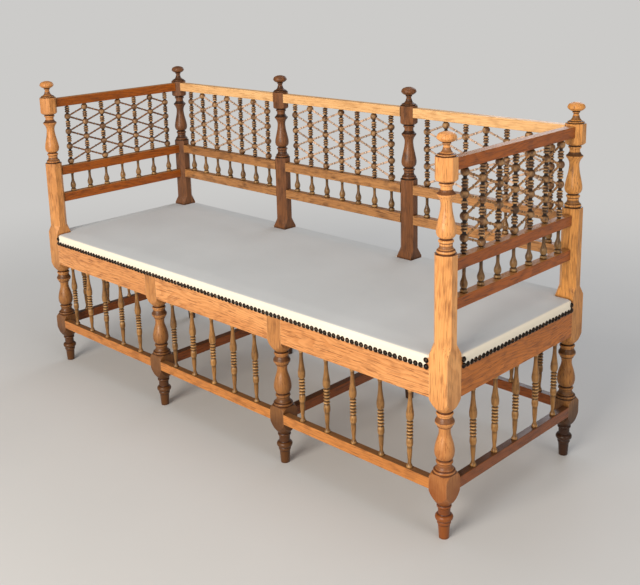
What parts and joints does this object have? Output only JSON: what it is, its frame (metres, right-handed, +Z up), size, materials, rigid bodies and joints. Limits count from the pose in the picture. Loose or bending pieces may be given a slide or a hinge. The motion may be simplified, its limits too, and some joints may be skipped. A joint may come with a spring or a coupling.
{
  "type": "daybed",
  "caption": "Free-standing wooden takht daybed with turned posts, pegged ball lattice back and arms, spindled base and a nailed canvas seat.",
  "frame": {"origin": "on the floor, under the middle of the seat", "axes": "+X along the seat, +Y from the open front to the back, +Z up"},
  "size_m": [1.6234, 0.5784, 0.934],
  "materials": {
    "honey_oak": "open-grained, waxed and worn",
    "red_oak": "stained, waxed",
    "pale_oak": "open-grained, waxed",
    "aged_lattice_wood": "dark and worn on the high spots",
    "olive_spindle_wood": "worn old varnish",
    "slat_pine": "bare",
    "stuffing": "cotton felt",
    "canvas": "plain weave",
    "bronze": "antiqued, domed"
  },
  "bodies": {
    "root": {"arm_bottom_rail_left": "red_oak", "arm_bottom_rail_right": "red_oak", "arm_middle_rail_left": "red_oak", "arm_middle_rail_right": "red_oak", "arm_top_rail_left": "red_oak", "arm_top_rail_right": "red_oak", "back_bottom_rail_left": "pale_oak", "back_bottom_rail_middle": "pale_oak", "back_bottom_rail_right": "pale_oak", "back_middle_rail_left": "pale_oak", "back_middle_rail_middle": "pale_oak", "back_middle_rail_right": "pale_oak", "back_top_rail_left": "pale_oak", "back_top_rail_middle": "pale_oak", "back_top_rail_right": "pale_oak", "balusters_arm_left": "aged_lattice_wood", "balusters_arm_right": "aged_lattice_wood", "balusters_back": "aged_lattice_wood", "cross_stretcher_left": "red_oak", "cross_stretcher_right": "red_oak", "lattice_pegs_arm_left": "aged_lattice_wood", "lattice_pegs_arm_right": "aged_lattice_wood", "lattice_pegs_back_left": "aged_lattice_wood", "lattice_pegs_back_middle": "aged_lattice_wood", "lattice_pegs_back_right": "aged_lattice_wood", "lattice_uprights_arm_left": "aged_lattice_wood", "lattice_uprights_arm_right": "aged_lattice_wood", "lattice_uprights_back": "aged_lattice_wood", "leg_front_mid_left": "honey_oak", "leg_front_mid_right": "honey_oak", "nailhead_trim": "bronze", "post_back_left": "honey_oak", "post_back_mid_left": "honey_oak", "post_back_mid_right": "honey_oak", "post_back_right": "honey_oak", "post_front_left": "honey_oak", "post_front_right": "honey_oak", "seat_cover": "canvas", "seat_pad": "stuffing", "seat_rail_back_left": "honey_oak", "seat_rail_back_middle": "honey_oak", "seat_rail_back_right": "honey_oak", "seat_rail_front_left": "honey_oak", "seat_rail_front_middle": "honey_oak", "seat_rail_front_right": "honey_oak", "seat_rail_left": "honey_oak", "seat_rail_right": "honey_oak", "seat_slats": "slat_pine", "seat_spindles_back": "olive_spindle_wood", "seat_spindles_front": "olive_spindle_wood", "seat_spindles_left": "olive_spindle_wood", "seat_spindles_right": "olive_spindle_wood", "stretcher_back_left": "red_oak", "stretcher_back_middle": "red_oak", "stretcher_back_right": "red_oak", "stretcher_front_left": "pale_oak", "stretcher_front_middle": "pale_oak", "stretcher_front_right": "pale_oak", "stretcher_left": "red_oak", "stretcher_right": "red_oak"}
  },
  "joints": []
}
